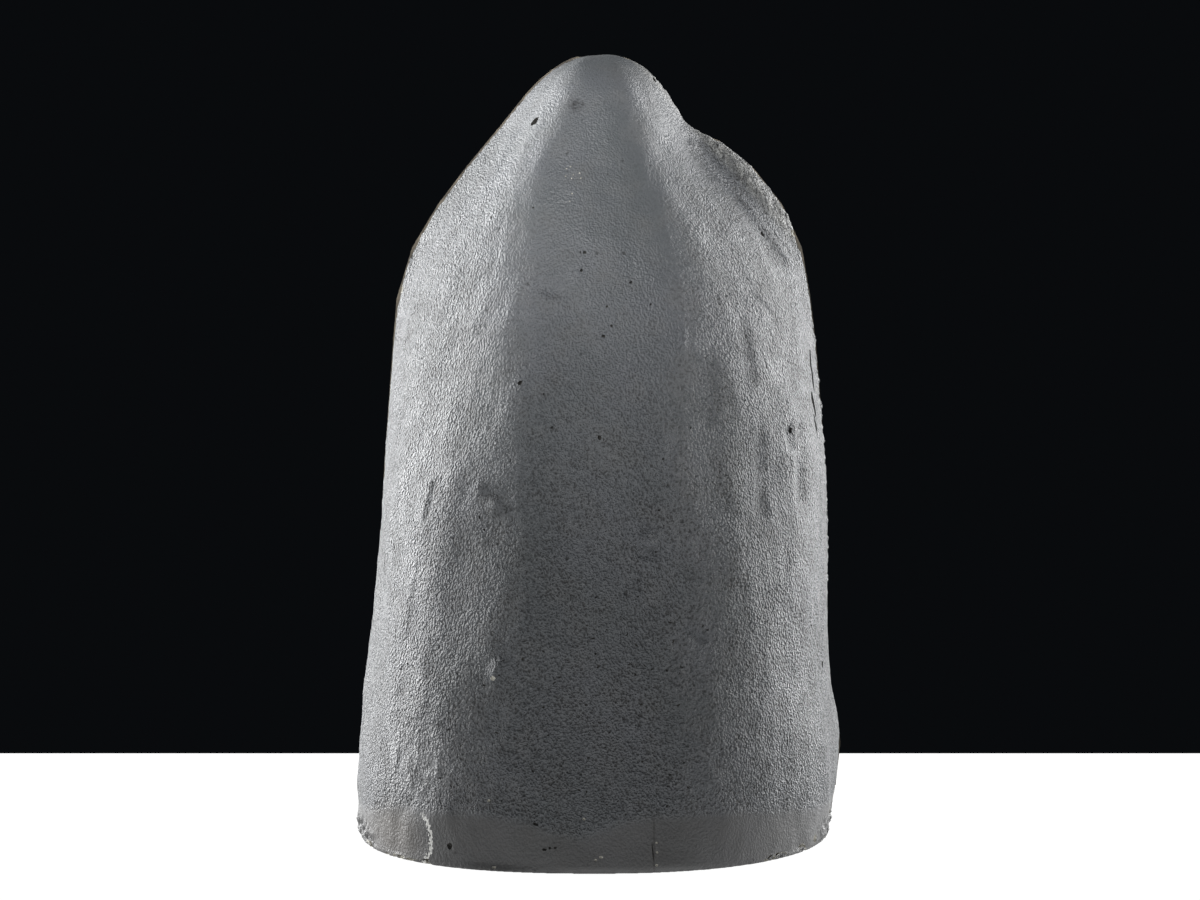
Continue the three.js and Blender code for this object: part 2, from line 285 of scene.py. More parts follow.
def ragged(place, normal):
    """Weight of the coat's torn edge along the sawn face, which is roughest half way up the right side."""
    edge = smooth_step(FACE_Y - 0.016, FACE_Y - 0.004, place.y) * smooth_step(0.012, 0.020, place.z)
    torn = smooth_step(0.09, 0.13, place.z) * smooth_step(0.27, 0.24, place.z) * (place.x > 0)
    return outside(place, normal) * edge * (0.35 + 0.65 * torn)


def broken(place, normal):
    """Weight of the foot's lower corners, where the mortar has crumbled."""
    corner = smooth_step(0.104, 0.116, abs(place.x)) * smooth_step(0.015, 0.006, place.z)
    return outside(place, normal) * corner


def roughen(piece, where, height, across, along, tilt=0, depth=1):
    """Raises soft ridges on a piece where a vertex group says: height from dip to crest, and the size
    of one ridge across and along its stroke, which leans tilt degrees over to the right."""
    texture = bpy.data.textures.new(where, "CLOUDS")
    texture.noise_scale = 1
    texture.noise_depth = depth
    bpy.ops.object.empty_add(rotation=(0, math.radians(tilt), 0))
    stroke = bpy.context.object
    stroke.scale = (across, across, along)
    modify(piece, "DISPLACE", texture=texture, strength=height, mid_level=0.5, vertex_group=where,
           texture_coords="OBJECT", texture_coords_object=stroke)
    bpy.data.objects.remove(stroke)


weigh(coat, "rounded", rounded)
modify(coat, "SMOOTH", factor=0.5, iterations=14, vertex_group="rounded")
modify(coat, "REMESH", mode="VOXEL", voxel_size=COAT_GRID)
select_faces(coat, out_of_sight)
bpy.ops.mesh.decimate(ratio=HIDDEN_SHARE)
bpy.ops.object.mode_set(mode="OBJECT")
for name, weight in (("body", body), ("raised", raised), ("sunken", sunken), ("left", brushed_left),
                     ("right", brushed_right), ("scraped", scraped), ("lobed", lobed), ("ragged", ragged),
                     ("broken", broken)):
    weigh(coat, name, weight)
modify(coat, "SMOOTH", factor=0.5, iterations=6, vertex_group="body")
roughen(coat, "body", height=0.0034, across=0.045, along=0.060, depth=0)
roughen(coat, "body", height=0.0013, across=0.014, along=0.020, tilt=10)
roughen(coat, "scraped", height=0.0016, across=0.0045, along=0.0075, tilt=20)
roughen(coat, "lobed", height=0.0016, across=0.0024, along=0.012, tilt=-42)
roughen(coat, "broken", height=0.0044, across=0.0036, along=0.0040)
roughen(coat, "ragged", height=0.0034, across=0.0026, along=0.0036)
roughen(coat, "left", height=0.00025, across=0.0020, along=0.0029, tilt=28)
roughen(coat, "right", height=0.00025, across=0.0020, along=0.0029, tilt=-32)
modify(coat, "DISPLACE", strength=MARK_HEIGHT, mid_level=0, vertex_group="raised")
modify(coat, "DISPLACE", strength=-MARK_HEIGHT, mid_level=0, vertex_group="sunken")
triangles = sum(len(face.vertices) - 2 for face in coat.data.polygons)
modify(coat, "DECIMATE", ratio=COAT_TRIANGLES / triangles)


def new_material(name):
    """A material with nodes: its tree, its Principled shader and its Object coordinates."""
    material = bpy.data.materials.new(name)
    material.use_nodes = True
    tree = material.node_tree
    shader = tree.nodes["Principled BSDF"]
    return material, tree, shader, tree.nodes.new("ShaderNodeTexCoord").outputs["Object"]


paint, paint_tree, paint_shader, paint_place = new_material("painted_mortar")
bare, bare_tree, bare_shader, bare_place = new_material("bare_mortar")
pit_dust_and_shade, pit_dust_and_shade_tree, pit_dust_and_shade_shader, pit_dust_and_shade_place = new_material("dust_and_painted_shade_in_pits")

# A search of the coat's outside by place across and up, as it is seen from behind.
seen = [vertex for vertex in coat.data.vertices if not out_of_sight(vertex.co, vertex.normal)]
seen_from_behind = KDTree(len(seen))
for number, vertex in enumerate(seen):
    seen_from_behind.insert((vertex.co.x, 0, vertex.co.z), number)
seen_from_behind.balance()
UNEVENNESS = 0.16
cutters = []


def gouge(x, z, across, along, depth, tilt, material):
    """Adds a rough cutter for a pit or a chip, at a place across and up on the coat's outside."""
    vertex = seen[seen_from_behind.find((x, 0, z))[1]]
    turn = vertex.normal.to_track_quat("Y", "Z") @ Quaternion((0, 1, 0), math.radians(tilt))
    bpy.ops.mesh.primitive_ico_sphere_add(subdivisions=2, radius=1, location=vertex.co,
                                          rotation=turn.to_euler(),
                                          scale=(across / 2, depth, along / 2))
    cutter = bpy.context.object
    bpy.ops.object.mode_set(mode="EDIT")
    bpy.ops.transform.vertex_random(offset=UNEVENNESS * min(across, along), uniform=0.6,
                                    seed=len(cutters), wait_for_input=False)
    bpy.ops.object.mode_set(mode="OBJECT")
    cutter.data.materials.append(material)
    cutters.append(cutter)


# Pits, torn slits beside the right edge and a nick in the foot's seam, lined with dust and painted shade,
# and chips
# that show the bare mortar: place across and up, size across and along, depth, lean, and what shows inside.
for x, z, across, along, depth, tilt, material in (
        (-0.0318, 0.3577, 0.0060, 0.0056, 0.0038, 0, pit_dust_and_shade),
        (0.0284, 0.3808, 0.0040, 0.0028, 0.0026, 30, pit_dust_and_shade),
        (0.0300, 0.3830, 0.0020, 0.0016, 0.0008, 0, bare),
        (-0.0062, 0.2900, 0.0018, 0.0016, 0.0012, 0, pit_dust_and_shade),
        (-0.0081, 0.2816, 0.0015, 0.0019, 0.0010, 0, pit_dust_and_shade),
        (0.0149, 0.2759, 0.0015, 0.0015, 0.0010, 0, pit_dust_and_shade),
        (0.0024, 0.2494, 0.0019, 0.0016, 0.0010, 0, pit_dust_and_shade),
        (0.0821, 0.3019, 0.0024, 0.0030, 0.0018, 0, pit_dust_and_shade),
        (-0.0374, 0.2285, 0.0026, 0.0021, 0.0016, 40, pit_dust_and_shade),
        (0.0005, 0.2027, 0.0018, 0.0024, 0.0012, 20, pit_dust_and_shade),
        (0.0934, 0.2042, 0.0024, 0.0034, 0.0026, 0, pit_dust_and_shade),
        (0.1068, 0.2390, 0.0030, 0.0120, 0.0020, -16, pit_dust_and_shade),
        (0.1080, 0.2290, 0.0036, 0.0130, 0.0024, -4, pit_dust_and_shade),
        (0.1084, 0.2170, 0.0042, 0.0140, 0.0026, 12, pit_dust_and_shade),
        (0.1090, 0.2060, 0.0028, 0.0110, 0.0020, 2, pit_dust_and_shade),
        (0.1105, 0.2230, 0.0022, 0.0030, 0.0010, 0, bare),
        (0.1116, 0.0870, 0.0030, 0.0034, 0.0018, 0, pit_dust_and_shade),
        (-0.0700, 0.0090, 0.0032, 0.0034, 0.0010, 0, pit_dust_and_shade),
        (-0.0297, 0.0225, 0.0028, 0.0014, 0.0010, -20, pit_dust_and_shade),
        (-0.0300, 0.0130, 0.0022, 0.0012, 0.0009, 60, pit_dust_and_shade),
        (-0.0262, 0.0119, 0.0024, 0.0013, 0.0010, 0, pit_dust_and_shade),
        (-0.0228, 0.0122, 0.0014, 0.0012, 0.0008, 0, pit_dust_and_shade),
        (-0.0192, 0.0117, 0.0016, 0.0010, 0.0008, 0, pit_dust_and_shade),
        (0.0246, 0.0095, 0.0006, 0.0090, 0.0006, 4, pit_dust_and_shade),
        (-0.1149, 0.0085, 0.0070, 0.0080, 0.0040, 8, pit_dust_and_shade),
        (-0.1120, 0.0020, 0.0070, 0.0044, 0.0026, 0, bare),
        (0.1165, 0.0110, 0.0050, 0.0040, 0.0020, 0, bare),
        (0.1060, 0.0040, 0.0064, 0.0040, 0.0016, -20, bare),
        (0.0985, 0.0024, 0.0080, 0.0030, 0.0016, -8, bare),
        (0.0880, 0.0012, 0.0070, 0.0024, 0.0014, 0, bare),
        (0.1150, 0.0030, 0.0080, 0.0050, 0.0026, 0, pit_dust_and_shade),
        (-0.1008, 0.2750, 0.0026, 0.0042, 0.0012, 10, bare),
        (0.0992, 0.3045, 0.0034, 0.0040, 0.0012, 0, bare),
        (-0.0494, 0.0893, 0.0030, 0.0022, 0.0008, 30, bare),
        (-0.0508, 0.0322, 0.0016, 0.0013, 0.0006, 0, bare),
        (-0.0074, 0.0266, 0.0015, 0.0013, 0.0006, 0, bare),
        (-0.0485, 0.0020, 0.0022, 0.0016, 0.0008, 0, bare),
        (0.0014, 0.0078, 0.0019, 0.0015, 0.0006, 0, bare),
        (0.0036, 0.0066, 0.0016, 0.0015, 0.0006, 0, bare),
        (-0.0006, 0.0058, 0.0015, 0.0012, 0.0006, 0, bare),
        (0.0263, 0.0132, 0.0013, 0.0011, 0.0005, 0, bare),
        (0.0266, 0.0098, 0.0011, 0.0013, 0.0005, 0, bare),
        (0.0259, 0.0045, 0.0013, 0.0011, 0.0005, 0, bare)):
    gouge(x, z, across, along, depth, tilt, material)

# Small chips along the foot's lower edge near both corners, pale specks below the apex, pinholes all over,
# and shallow nicks in the lower third. The pinholes and nicks are lined with dust and painted shade.
CORNER_CHIPS = 12
PALE_SPECKS = 9
PINHOLES = 44
LOW_NICKS = 50
random.seed(11)
for side in (-1, 1):
    for chip in range(CORNER_CHIPS):
        gouge(side * random.uniform(0.080, 0.114), random.uniform(0, 0.0016), random.uniform(0.0040, 0.0090),
              random.uniform(0.0014, 0.0026), random.uniform(0.0010, 0.0018), random.uniform(-15, 15), bare)
for speck in range(PALE_SPECKS):
    gouge(random.gauss(-0.0125, 0.0026), random.gauss(0.327, 0.005), random.uniform(0.0005, 0.0010),
          random.uniform(0.0005, 0.0009), 0.0004, 0, bare)
for pinhole in range(PINHOLES):
    gouge(random.uniform(-0.095, 0.100), random.uniform(0.03, 0.34), random.uniform(0.0006, 0.0014),
          random.uniform(0.0006, 0.0016), random.uniform(0.0006, 0.0010), random.uniform(-60, 60), pit_dust_and_shade)
for nick in range(LOW_NICKS):
    gouge(random.gauss(0.005, 0.045), random.uniform(0.028, 0.120), random.uniform(0.0008, 0.0022),
          random.uniform(0.0006, 0.0010), random.uniform(0.0003, 0.0006), random.uniform(-60, 60), pit_dust_and_shade)

# All the cutters become one, which is taken out of the coat in one cut.
bpy.ops.object.select_all(action="DESELECT")
for cutter in cutters:
    cutter.select_set(True)
bpy.ops.object.join()
bpy.ops.object.transform_apply()
cutter = bpy.context.object
for finish in (paint, bare, pit_dust_and_shade):
    coat.data.materials.append(finish)
modify(coat, "BOOLEAN", operation="DIFFERENCE", object=cutter, solver="MANIFOLD", material_mode="TRANSFER")
bpy.data.objects.remove(cutter)
bpy.ops.object.select_all(action="DESELECT")
coat.select_set(True)
bpy.context.view_layer.objects.active = coat
bpy.ops.object.shade_smooth_by_angle(angle=math.radians(50))


def note(piece, name, value):
    """Writes value(place, normal) at each vertex of a piece as an attribute that its material reads."""
    attribute = piece.data.attributes.new(name, "FLOAT", "POINT")
    attribute.data.foreach_set("value", [value(v.co, v.normal) for v in piece.data.vertices])


note(coat, "brushed", brushed)
note(coat, "on_lobe", lobed)
note(coat, "on_scraped", scraped)
note(coat, "above_band", lambda place, normal: smooth_step(-0.002, 0.003, place.z - band_top(place.x)))


def add_node(tree, kind, inputs=(), **settings):
    """A node of a material, with its settings, and its inputs as numbers or as other nodes' outputs."""
    node = tree.nodes.new(kind)
    for setting, value in settings.items():
        setattr(node, setting, value)
    for socket, value in dict(inputs).items():
        if isinstance(value, bpy.types.NodeSocket):
            tree.links.new(value, node.inputs[socket])
        else:
            node.inputs[socket].default_value = value
    return node


def noted(tree, name):
    """What note() wrote on the piece under a name."""
    return add_node(tree, "ShaderNodeAttribute", attribute_name=name).outputs["Fac"]


def work_out(tree, how, first, second=0):
    """One step of arithmetic on numbers or other nodes' outputs."""
    return add_node(tree, "ShaderNodeMath", {0: first, 1: second}, operation=how).outputs[0]


def noise(tree, place, scale, detail, turn=0, stretch=1):
    """Soft noise with a size of 1 / scale, drawn out upwards by stretch. Another turn gives another pattern
    of the same kind."""
    placed = add_node(tree, "ShaderNodeMapping", {
        "Vector": place, "Rotation": (0, math.radians(-turn), 0), "Scale": (1, 1, 1 / stretch)})
    return add_node(tree, "ShaderNodeTexNoise", {
        "Vector": placed.outputs["Vector"], "Scale": scale, "Detail": detail}).outputs["Fac"]


def blend(tree, share, a, b):
    """a where share is 0, b where it is 1, for two numbers."""
    node = add_node(tree, "ShaderNodeMix", {"Factor": share})
    for socket, value in ((node.inputs["A"], a), (node.inputs["B"], b)):
        if isinstance(value, bpy.types.NodeSocket):
            tree.links.new(value, socket)
        else:
            socket.default_value = value
    return node.outputs["Result"]


def remap(tree, value, low, high, to_low=0.0, to_high=1.0):
    """A number from low to high turned into one from to_low to to_high."""
    return add_node(tree, "ShaderNodeMapRange", {
        "Value": value, "From Min": low, "From Max": high, "To Min": to_low, "To Max": to_high,
    }).outputs["Result"]


def tint(tree, share, a, b):
    """Colour a where share is 0, b where it is 1. Each is a colour or another node's output."""
    node = tree.nodes.new("ShaderNodeMix")
    node.data_type = "RGBA"
    tree.links.new(share, node.inputs["Factor"])
    colours = [socket for socket in node.inputs if socket.type == "RGBA"]
    for socket, value in zip(colours, (a, b)):
        if isinstance(value, bpy.types.NodeSocket):
            tree.links.new(value, socket)
        else:
            socket.default_value = (*value, 1)
    return next(socket for socket in node.outputs if socket.type == "RGBA")


# The sand grain: short strokes in one pattern on the left and another on the right, with round grains
# between them. Both are counted along a metre.
STROKES = 900
GRAINS = 1200
GRAIN_RELIEF = 0.0032
PIT_WOBBLE = 0.0012
brush_share = noted(paint_tree, "brushed")
above_band = noted(paint_tree, "above_band")
axes = add_node(paint_tree, "ShaderNodeSeparateXYZ", {"Vector": paint_place})
across, forward, up = axes.outputs["X"], axes.outputs["Y"], axes.outputs["Z"]
left_strokes = noise(paint_tree, paint_place, STROKES, detail=0, turn=25, stretch=1.4)
right_strokes = noise(paint_tree, paint_place, STROKES, detail=0, turn=-30, stretch=1.4)
strokes = blend(paint_tree, remap(paint_tree, across, -0.02, 0.02), left_strokes, right_strokes)
grains = noise(paint_tree, paint_place, GRAINS, detail=0)
stipple = blend(paint_tree, 0.45, strokes, grains)


def pits(tree, place, scale, share, radius, offset):
    """1 inside scattered pits, 0 outside. share of the cells of size 1 / scale hold one, the widest has
    a radius in cells, and an offset that changes from place to place makes their outlines uneven."""
    shifted = add_node(tree, "ShaderNodeVectorMath", {0: place, 1: offset}, operation="ADD")
    cells = add_node(tree, "ShaderNodeTexVoronoi", {
        "Vector": shifted.outputs["Vector"], "Scale": scale, "Randomness": 1})
    chance = add_node(tree, "ShaderNodeSeparateColor", {"Color": cells.outputs["Color"]}).outputs["Red"]
    reach = remap(tree, chance, 1 - share, 1, 0, radius)
    inside = work_out(tree, "SUBTRACT", reach, cells.outputs["Distance"])
    return remap(tree, inside, -0.05, 0.05)


wobble = add_node(paint_tree, "ShaderNodeTexNoise", {"Vector": paint_place, "Scale": 900, "Detail": 0})
offset = add_node(paint_tree, "ShaderNodeVectorMath", {0: wobble.outputs["Color"], "Scale": PIT_WOBBLE},
                  operation="SCALE").outputs["Vector"]
pinholes = pits(paint_tree, paint_place, 150, share=0.55, radius=0.13, offset=offset)
small_pits = pits(paint_tree, paint_place, 430, share=0.6, radius=0.30, offset=offset)
bump = add_node(paint_tree, "ShaderNodeBump", {
    "Height": blend(paint_tree, small_pits, blend(paint_tree, pinholes, stipple, 0.0), 0.2),
    "Distance": GRAIN_RELIEF, "Strength": remap(paint_tree, brush_share, 0.2, 1, 0.22, 1.0)})
paint_tree.links.new(bump.outputs["Normal"], paint_shader.inputs["Normal"])

# The paint: grey in soft blotches, thin where it is worn, browner in the band, streaked and lightened with
# painted light on the lobe, and lightened with a painted highlight on the scraped patch. The grain's tops
# are rubbed and lit with painted highlights, and its dips hold dust and painted shade.
DEEP_GREY = (0.074, 0.080, 0.085)
SOFT_GREY = (0.086, 0.091, 0.099)
WORN_GREY = (0.104, 0.104, 0.102)
BAND_GREY = (0.066, 0.062, 0.058)
LOBE_DARK = (0.090, 0.091, 0.087)
LOBE_PAINTED_LIGHT = (0.230, 0.230, 0.218)
SCRAPED_PAINTED_HIGHLIGHT = (0.250, 0.255, 0.262)
RUBBED_GREY_AND_HIGHLIGHT = (0.150, 0.154, 0.160)
DUST_AND_PAINTED_SHADE = (0.022, 0.022, 0.022)
PINHOLE_PAINTED_SHADE = (0.016, 0.016, 0.016)
blotches = noise(paint_tree, paint_place, 22, detail=3)
wear = noise(paint_tree, paint_place, 70, detail=4)
grey = tint(paint_tree, remap(paint_tree, blotches, 0.35, 0.65), DEEP_GREY, SOFT_GREY)
grey = tint(paint_tree, remap(paint_tree, wear, 0.45, 0.75, 0, 0.35), grey, WORN_GREY)
grey = tint(paint_tree, remap(paint_tree, above_band, 0, 1, 0.5, 0), grey, BAND_GREY)
# The shoulder lobe is streaked, and lightened overall with painted light.
streaks = noise(paint_tree, paint_place, 420, detail=0, turn=-42, stretch=5)
lobe_light_share = remap(paint_tree, noted(paint_tree, "on_lobe"), 0, 1, 0, 0.65)
lobe_streaks_and_light = tint(paint_tree, remap(paint_tree, streaks, 0.42, 0.58), LOBE_DARK, LOBE_PAINTED_LIGHT)
grey = tint(paint_tree, lobe_light_share, grey, lobe_streaks_and_light)
# The scraped patch is lightened with a painted highlight.
scraped_highlight_share = remap(paint_tree, noted(paint_tree, "on_scraped"), 0, 1, 0, 0.6)
grey = tint(paint_tree, scraped_highlight_share, grey, SCRAPED_PAINTED_HIGHLIGHT)
# The grain's dips and small pits are darkened: dust and painted shade.
shaded_dips = blend(paint_tree, small_pits, remap(paint_tree, stipple, 0.45, 0.37, 0, 0.95), 0.85)
# The grain's tops are lighter: rubbed paint, with painted highlights.
highlit_tops = remap(paint_tree, stipple, 0.56, 0.64)
rough_share = work_out(paint_tree, "MULTIPLY", remap(paint_tree, wear, 0.35, 0.60, 0.45, 1.0), brush_share)
rough_shaded_dips = work_out(paint_tree, "MULTIPLY", shaded_dips, rough_share)
rough_highlit_tops = work_out(paint_tree, "MULTIPLY", highlit_tops, rough_share)
grey = tint(paint_tree, remap(paint_tree, rough_highlit_tops, 0, 1, 0, 0.35), grey, RUBBED_GREY_AND_HIGHLIGHT)
grey = tint(paint_tree, rough_shaded_dips, grey, DUST_AND_PAINTED_SHADE)
# The pinholes are darkened almost black: painted shade, with dust.
grey = tint(paint_tree, remap(paint_tree, pinholes, 0, 1, 0, 0.75), grey, PINHOLE_PAINTED_SHADE)

# A dark smudge on the hood, and the faint seam of the foot's casting mould, right of the middle.
SMUDGE = (-0.0118, 0, 0.3643)
SMUDGE_DARK = (0.030, 0.031, 0.033)
SEAM_X = 0.0256
SEAM_DARK = (0.030, 0.028, 0.026)
flat_place = add_node(paint_tree, "ShaderNodeVectorMath", {0: paint_place, 1: (1, 0, 1)},
                      operation="MULTIPLY").outputs["Vector"]


def away_from(spot):
    """How far a place on the coat lies from a spot, seen from behind."""
    return add_node(paint_tree, "ShaderNodeVectorMath", {0: flat_place, 1: spot},
                    operation="DISTANCE").outputs["Value"]


specks = remap(paint_tree, noise(paint_tree, paint_place, 600, detail=0), 0.40, 0.62, 0.35, 1.0)
smudge = work_out(paint_tree, "MULTIPLY", remap(paint_tree, away_from(SMUDGE), 0.0050, 0.0008), specks)
grey = tint(paint_tree, smudge, grey, SMUDGE_DARK)
from_seam = work_out(paint_tree, "ABSOLUTE", work_out(paint_tree, "SUBTRACT", across, SEAM_X))
seam = work_out(paint_tree, "MULTIPLY", remap(paint_tree, from_seam, 0.0008, 0.0001, 0, 0.6),
                remap(paint_tree, above_band, 1, 0))
grey = tint(paint_tree, seam, grey, SEAM_DARK)

# A white scratch curves down through the band at the left, with a brown stain beside it.
SCRATCH_CENTRE = (-0.0989, 0, 0.0115)
SCRATCH_RADIUS = 0.0196
SCRATCH_WHITE = (0.52, 0.52, 0.50)
STAIN_BROWN = (0.085, 0.066, 0.046)
reach = away_from(SCRATCH_CENTRE)
off_line = work_out(paint_tree, "ABSOLUTE", work_out(paint_tree, "SUBTRACT", reach, SCRATCH_RADIUS))
ragged_edge = noise(paint_tree, paint_place, 700, detail=3)
half_width = remap(paint_tree, ragged_edge, 0.38, 0.62, -0.0002, 0.0015)
in_band = remap(paint_tree, up, 0.0245, 0.0225)
right_side = remap(paint_tree, across, -0.0865, -0.0860)
on_back = remap(paint_tree, forward, 0.020, 0.010)
scratch = work_out(paint_tree, "LESS_THAN", off_line, half_width)
for share in (in_band, right_side, on_back):
    scratch = work_out(paint_tree, "MULTIPLY", scratch, share)
stain = remap(paint_tree, reach, 0.0185, 0.006, 0, 0.3)
grey = tint(paint_tree, stain, grey, STAIN_BROWN)
grey = tint(paint_tree, scratch, grey, SCRATCH_WHITE)
paint_tree.links.new(grey, paint_shader.inputs["Base Color"])
paint_tree.links.new(remap(paint_tree, wear, 0.3, 0.7, 0.46, 0.62), paint_shader.inputs["Roughness"])
paint_shader.inputs["Specular IOR Level"].default_value = 0.35

# Bare mortar in the chips is sandy and pale, and the pits hold dust and painted shade, almost black.
BARE_DARK = (0.30, 0.29, 0.25)
BARE_PALE = (0.52, 0.51, 0.47)
grain = noise(bare_tree, bare_place, 1100, detail=3)
sandy = tint(bare_tree, remap(bare_tree, grain, 0.35, 0.65), BARE_DARK, BARE_PALE)
bare_tree.links.new(sandy, bare_shader.inputs["Base Color"])
bump = add_node(bare_tree, "ShaderNodeBump", {"Height": grain, "Distance": 0.0008, "Strength": 0.6})
bare_tree.links.new(bump.outputs["Normal"], bare_shader.inputs["Normal"])
bare_shader.inputs["Roughness"].default_value = 0.9

# Almost black: dust with painted shade, standing in for the shade inside the holes.
DUST_AND_SHADE_BLACK = (0.010, 0.010, 0.010)
DUST_AND_SHADE_BROWN = (0.030, 0.028, 0.024)
grain = noise(pit_dust_and_shade_tree, pit_dust_and_shade_place, 900, detail=3)
dusty_and_shaded = tint(pit_dust_and_shade_tree, remap(pit_dust_and_shade_tree, grain, 0.35, 0.65), DUST_AND_SHADE_BLACK, DUST_AND_SHADE_BROWN)
pit_dust_and_shade_tree.links.new(dusty_and_shaded, pit_dust_and_shade_shader.inputs["Base Color"])
pit_dust_and_shade_shader.inputs["Roughness"].default_value = 0.95

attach(coat, "root")
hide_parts("mortar_jacket")

# ---- Agate rind ----
# The stone's own wall: rough brown basalt skin outside, then thin green, grey and white layers of agate
# and clear quartz, each following the last. It is sawn through and polished, so the layers show.
RING_STRIPS = 10
HOLLOW_FOOT = 0.09
HOLLOW_TOP = 0.31
SAWN_Y = FACE_Y - 0.0005
SQUARE_ON = 0.99
rind = copy_of("agate_rind", "banded_rind")


def on_sawn_face(centre, normal):
    """True on the flat ring that the saw left."""
    return normal.y > SQUARE_ON and centre.y > SAWN_Y


select_faces(rind, on_sawn_face)
bpy.ops.mesh.subdivide(number_cuts=RING_STRIPS - 1)
bpy.ops.object.mode_set(mode="OBJECT")


def faces_hollow(centre, normal):
    """True on the rind's inner wall, which the crystals grow on and which faces the hollow's axis."""
    axis = Vector((0, FACE_Y, min(HOLLOW_TOP, max(HOLLOW_FOOT, centre.z))))
    return normal.dot(centre - axis) < 0 and normal.y < SQUARE_ON


wall_corners = set()
skin_corners = set()
for face in rind.data.polygons:
    if faces_hollow(face.center, face.normal):
        wall_corners.update(face.vertices)
    elif face.normal.y < SQUARE_ON:
        skin_corners.update(face.vertices)


def tree_of(corners):
    """A search tree of those of the rind's corners that lie on the sawn face."""
    places = [rind.data.vertices[corner].co for corner in corners]
    places = [place for place in places if place.y > SAWN_Y]
    tree = KDTree(len(places))
    for number, place in enumerate(places):
        tree.insert(place, number)
    tree.balance()
    return tree


skin_edge = tree_of(skin_corners - wall_corners)
wall_edge = tree_of(wall_corners - skin_corners)
layers = []
for vertex in rind.data.vertices:
    if vertex.co.y > SAWN_Y:
        to_skin = skin_edge.find(vertex.co)[2]
        to_wall = wall_edge.find(vertex.co)[2]
        layers.append(to_skin / max(to_skin + to_wall, 1e-6))
    else:
        layers.append(float(vertex.index in wall_corners))
attribute = rind.data.attributes.new("layer", "FLOAT", "POINT")
attribute.data.foreach_set("value", layers)
note(rind, "sawn", lambda place, normal: float(place.y > SAWN_Y))
bpy.ops.object.shade_smooth_by_angle(angle=math.radians(40))

# Each layer of the stone: its place between the skin, 0, and the hollow, 1, and its colour. Fine white
# lines run along the layers, one for each 2 pi of LINE_PHASE.
AGATE_LAYERS = (
    (0.00, (0.072, 0.051, 0.033)), (0.10, (0.033, 0.027, 0.021)), (0.17, (0.042, 0.057, 0.039)),
    (0.23, (0.126, 0.120, 0.099)), (0.29, (0.042, 0.054, 0.063)), (0.34, (0.198, 0.198, 0.189)),
    (0.40, (0.072, 0.087, 0.105)), (0.47, (0.228, 0.225, 0.219)), (0.56, (0.120, 0.126, 0.141)),
    (0.66, (0.252, 0.243, 0.246)), (0.80, (0.180, 0.150, 0.210)), (1.00, (0.078, 0.036, 0.132)))
LINE_PHASE = 260
LINE_WHITE = (0.26, 0.26, 0.25)
BASALT_DARK = (0.060, 0.052, 0.042)
BASALT_BROWN = (0.150, 0.130, 0.100)
QUARTZ_DEEP = (0.24, 0.17, 0.36)
QUARTZ_PALE = (0.38, 0.30, 0.50)
agate, tree, shader, place = new_material("banded_agate")
layer = noted(tree, "layer")
sawn = noted(tree, "sawn")
wander = remap(tree, noise(tree, place, 45, detail=3), 0.25, 0.75, -0.10, 0.10)
depth = work_out(tree, "ADD", layer, wander)
ramp = tree.nodes.new("ShaderNodeValToRGB")
tree.links.new(depth, ramp.inputs["Fac"])
for stop in AGATE_LAYERS[1:-1]:
    ramp.color_ramp.elements.new(stop[0])
for element, (position, colour) in zip(ramp.color_ramp.elements, AGATE_LAYERS):
    element.position = position
    element.color = (*colour, 1)
lines = work_out(tree, "SINE", work_out(tree, "MULTIPLY", depth, LINE_PHASE))
banded = tint(tree, remap(tree, lines, 0.2, 1.0, 0, 0.35), ramp.outputs["Color"], LINE_WHITE)
rough_skin = noise(tree, place, 160, detail=4)
rough_share = remap(tree, rough_skin, 0.35, 0.65)
basalt = tint(tree, rough_share, BASALT_DARK, BASALT_BROWN)
quartz = tint(tree, rough_share, QUARTZ_DEEP, QUARTZ_PALE)
unsawn = tint(tree, layer, basalt, quartz)
tree.links.new(tint(tree, sawn, unsawn, banded), shader.inputs["Base Color"])
tree.links.new(remap(tree, sawn, 0, 1, 0.85, 0.22), shader.inputs["Roughness"])
bump = add_node(tree, "ShaderNodeBump", {
    "Height": rough_skin, "Distance": 0.0015, "Strength": remap(tree, sawn, 0, 1, 0.8, 0.0)})
tree.links.new(bump.outputs["Normal"], shader.inputs["Normal"])
rind.data.materials.append(agate)
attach(rind, "root")
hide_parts("agate_rind")

# ---- Amethyst crystals ----
# Six-sided quartz points, purple at the tips, that grew inwards from the rind until the hollow was
# lined with them. They are small by the sawn face and finger-thick in the middle, and all grown together.
CRYSTAL_TRIES = 16000
SMALL_CRYSTAL = 0.0062
LARGE_CRYSTAL = 0.0150
CROWDING = 0.30
RIM_GAP = 0.4
STRAY_LEAN = 0.22
STAND_OFF = 0.10
TIP_HEIGHT = 0.55
TIP_WIDTH = 0.042
TIP_OFFSET = 0.07
ROOT_WIDTH = 0.7


def is_top(centre, normal):
    """True on the end of a crystal shape that grows into its tip."""
    return normal.z > 0.9


def is_root(centre, normal):
    """True on the end of a crystal shape that sits in the wall."""
    return normal.z < -0.9


